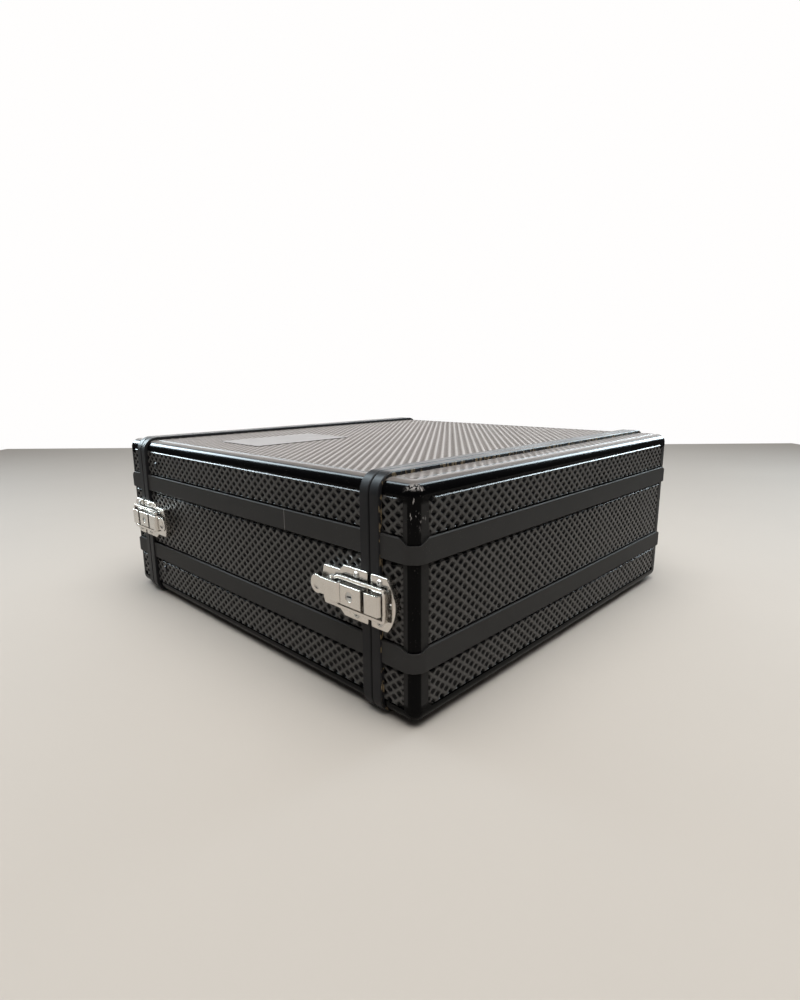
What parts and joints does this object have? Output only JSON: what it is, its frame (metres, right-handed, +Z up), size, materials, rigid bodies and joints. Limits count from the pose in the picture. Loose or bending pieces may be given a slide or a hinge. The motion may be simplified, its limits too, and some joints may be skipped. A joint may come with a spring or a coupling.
{
  "type": "rack case",
  "caption": "Moulded rack case for four rack units: an open sleeve with rack rails, a lift-off cover at the front and another at the rear, and lockable draw latches.",
  "frame": {"origin": "centre of the underside, on the surface that the case stands on", "axes": "+Z up, +Y from the front cover to the rear cover, +X across the case, to the right seen from the front"},
  "size_m": [0.5438, 0.533, 0.211],
  "materials": {
    "shell_plastic": "moulded, satin black",
    "valance_black": "satin black coating",
    "latch_steel": "nickel plated",
    "pin_steel": "bright zinc",
    "rail_steel": "black powder coat",
    "plate_grey": "satin"
  },
  "bodies": {
    "case_body": {"body_shell": "shell_plastic", "body_front_valance": "valance_black", "body_rear_valance": "valance_black", "front_left_rack_rail": "rail_steel", "front_right_rack_rail": "rail_steel", "rear_left_rack_rail": "rail_steel", "rear_right_rack_rail": "rail_steel", "front_rail_screws": "pin_steel", "rear_rail_screws": "pin_steel", "latch_base_rivets": "pin_steel", "top_name_plate": "plate_grey", "front_left_latch_base": "latch_steel", "front_left_lock_body": "latch_steel", "front_left_lever_pin": "pin_steel", "front_right_latch_base": "latch_steel", "front_right_lock_body": "latch_steel", "front_right_lever_pin": "pin_steel", "rear_left_latch_base": "latch_steel", "rear_left_lock_body": "latch_steel", "rear_left_lever_pin": "pin_steel", "rear_right_latch_base": "latch_steel", "rear_right_lock_body": "latch_steel", "rear_right_lever_pin": "pin_steel"},
    "front_cover": {"front_cover_shell": "shell_plastic", "front_cover_valance": "valance_black", "front_catch_rivets": "pin_steel", "front_left_latch_catch": "latch_steel", "front_right_latch_catch": "latch_steel"},
    "rear_cover": {"rear_cover_shell": "shell_plastic", "rear_cover_valance": "valance_black", "rear_catch_rivets": "pin_steel", "rear_left_latch_catch": "latch_steel", "rear_right_latch_catch": "latch_steel"},
    "front_left_lever": {"front_left_latch_lever": "latch_steel", "front_left_loop_pin": "pin_steel"},
    "front_left_loop": {"front_left_latch_loop": "latch_steel"},
    "front_left_plug": {"front_left_lock_plug": "pin_steel"},
    "front_right_lever": {"front_right_latch_lever": "latch_steel", "front_right_loop_pin": "pin_steel"},
    "front_right_loop": {"front_right_latch_loop": "latch_steel"},
    "front_right_plug": {"front_right_lock_plug": "pin_steel"},
    "rear_left_lever": {"rear_left_latch_lever": "latch_steel", "rear_left_loop_pin": "pin_steel"},
    "rear_left_loop": {"rear_left_latch_loop": "latch_steel"},
    "rear_left_plug": {"rear_left_lock_plug": "pin_steel"},
    "rear_right_lever": {"rear_right_latch_lever": "latch_steel", "rear_right_loop_pin": "pin_steel"},
    "rear_right_loop": {"rear_right_latch_loop": "latch_steel"},
    "rear_right_plug": {"rear_right_lock_plug": "pin_steel"}
  },
  "joints": [
    {"name": "front_cover_slide", "type": "slide", "parent": "case_body", "child": "front_cover", "axis": [0, -1, 0], "range_m": [0, 0.03]},
    {"name": "rear_cover_slide", "type": "slide", "parent": "case_body", "child": "rear_cover", "axis": [0, 1, 0], "range_m": [0, 0.03]},
    {"name": "front_left_lever_hinge", "type": "hinge", "parent": "case_body", "child": "front_left_lever", "pos_m": [-0.2681, -0.1867, 0.1055], "axis": [0, 0, 1], "range_deg": [0, 90.5]},
    {"name": "front_left_loop_hinge", "type": "hinge", "parent": "front_left_lever", "child": "front_left_loop", "pos_m": [-0.2669, -0.1762, 0.1055], "axis": [0, 0, -1], "range_deg": [0, 163.5]},
    {"name": "front_left_lock_turn", "type": "hinge", "parent": "case_body", "child": "front_left_plug", "pos_m": [-0.2682, -0.2027, 0.1055], "axis": [-1, 0, 0], "range_deg": [0, 90]},
    {"name": "front_right_lever_hinge", "type": "hinge", "parent": "case_body", "child": "front_right_lever", "pos_m": [0.2681, -0.1867, 0.1055], "axis": [0, 0, -1], "range_deg": [0, 90.5]},
    {"name": "front_right_loop_hinge", "type": "hinge", "parent": "front_right_lever", "child": "front_right_loop", "pos_m": [0.2669, -0.1762, 0.1055], "axis": [0, 0, 1], "range_deg": [0, 163.5]},
    {"name": "front_right_lock_turn", "type": "hinge", "parent": "case_body", "child": "front_right_plug", "pos_m": [0.2682, -0.2027, 0.1055], "axis": [1, 0, 0], "range_deg": [0, 90]},
    {"name": "rear_left_lever_hinge", "type": "hinge", "parent": "case_body", "child": "rear_left_lever", "pos_m": [-0.2681, 0.1867, 0.1055], "axis": [0, 0, -1], "range_deg": [0, 90.5]},
    {"name": "rear_left_loop_hinge", "type": "hinge", "parent": "rear_left_lever", "child": "rear_left_loop", "pos_m": [-0.2669, 0.1762, 0.1055], "axis": [0, 0, 1], "range_deg": [0, 163.5]},
    {"name": "rear_left_lock_turn", "type": "hinge", "parent": "case_body", "child": "rear_left_plug", "pos_m": [-0.2682, 0.2027, 0.1055], "axis": [-1, 0, 0], "range_deg": [0, 90]},
    {"name": "rear_right_lever_hinge", "type": "hinge", "parent": "case_body", "child": "rear_right_lever", "pos_m": [0.2681, 0.1867, 0.1055], "axis": [0, 0, 1], "range_deg": [0, 90.5]},
    {"name": "rear_right_loop_hinge", "type": "hinge", "parent": "rear_right_lever", "child": "rear_right_loop", "pos_m": [0.2669, 0.1762, 0.1055], "axis": [0, 0, -1], "range_deg": [0, 163.5]},
    {"name": "rear_right_lock_turn", "type": "hinge", "parent": "case_body", "child": "rear_right_plug", "pos_m": [0.2682, 0.2027, 0.1055], "axis": [1, 0, 0], "range_deg": [0, 90]}
  ],
  "couplings": [
    {"joint": "front_left_lever_hinge", "follows": "front_cover_slide", "rad_per_m": 52.36},
    {"joint": "front_left_loop_hinge", "follows": "front_cover_slide", "rad_per_m": 94.83},
    {"joint": "front_right_lever_hinge", "follows": "front_cover_slide", "rad_per_m": 52.36},
    {"joint": "front_right_loop_hinge", "follows": "front_cover_slide", "rad_per_m": 94.83},
    {"joint": "rear_left_lever_hinge", "follows": "rear_cover_slide", "rad_per_m": 52.36},
    {"joint": "rear_left_loop_hinge", "follows": "rear_cover_slide", "rad_per_m": 94.83},
    {"joint": "rear_right_lever_hinge", "follows": "rear_cover_slide", "rad_per_m": 52.36},
    {"joint": "rear_right_loop_hinge", "follows": "rear_cover_slide", "rad_per_m": 94.83}
  ]
}
